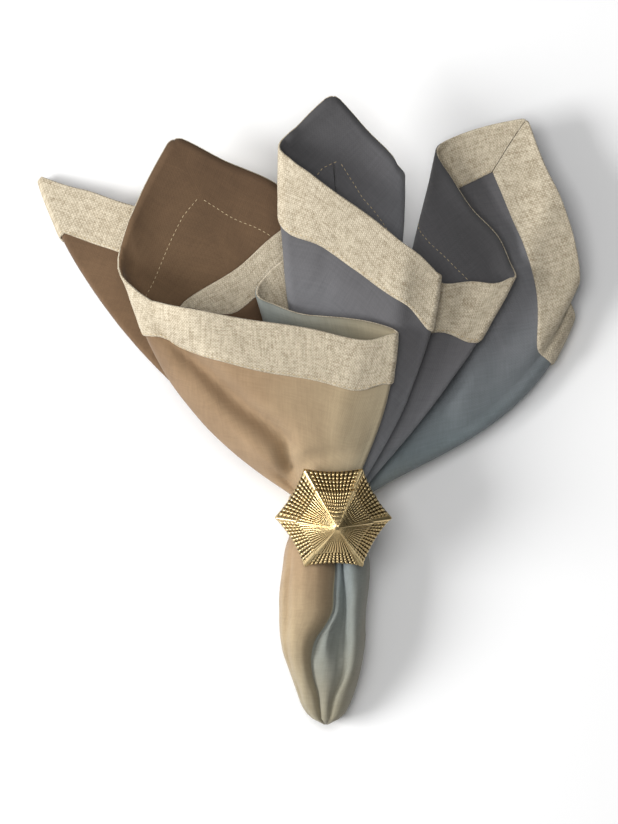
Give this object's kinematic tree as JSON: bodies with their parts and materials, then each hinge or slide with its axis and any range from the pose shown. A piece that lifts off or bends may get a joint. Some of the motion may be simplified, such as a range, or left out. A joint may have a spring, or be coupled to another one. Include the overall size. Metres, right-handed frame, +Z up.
{
  "type": "napkin in a ring",
  "caption": "Square dinner napkin with a mitred border, gathered through a gold ring with a six-sided ribbed ornament and fanned out in folds.",
  "frame": {"origin": "on the table under the middle of the part's box", "axes": "+Z up from the table, +Y from the ring towards the corners of the cloth, +X to the right seen from above with the tail towards the viewer"},
  "size_m": [0.2718, 0.3136, 0.0703],
  "materials": {
    "ground_cloth": "plain woven linen, dyed from brown through sage to slate",
    "border_linen": "open plain weave, undyed linen",
    "gold_metal": "satin gold plate, darker in the grooves"
  },
  "bodies": {
    "root": {"napkin_cloth": "ground_cloth", "border_left": "border_linen", "border_top": "border_linen", "border_right": "border_linen", "border_under": "border_linen", "ring_band": "gold_metal", "ring_ornament": "gold_metal"}
  },
  "joints": []
}
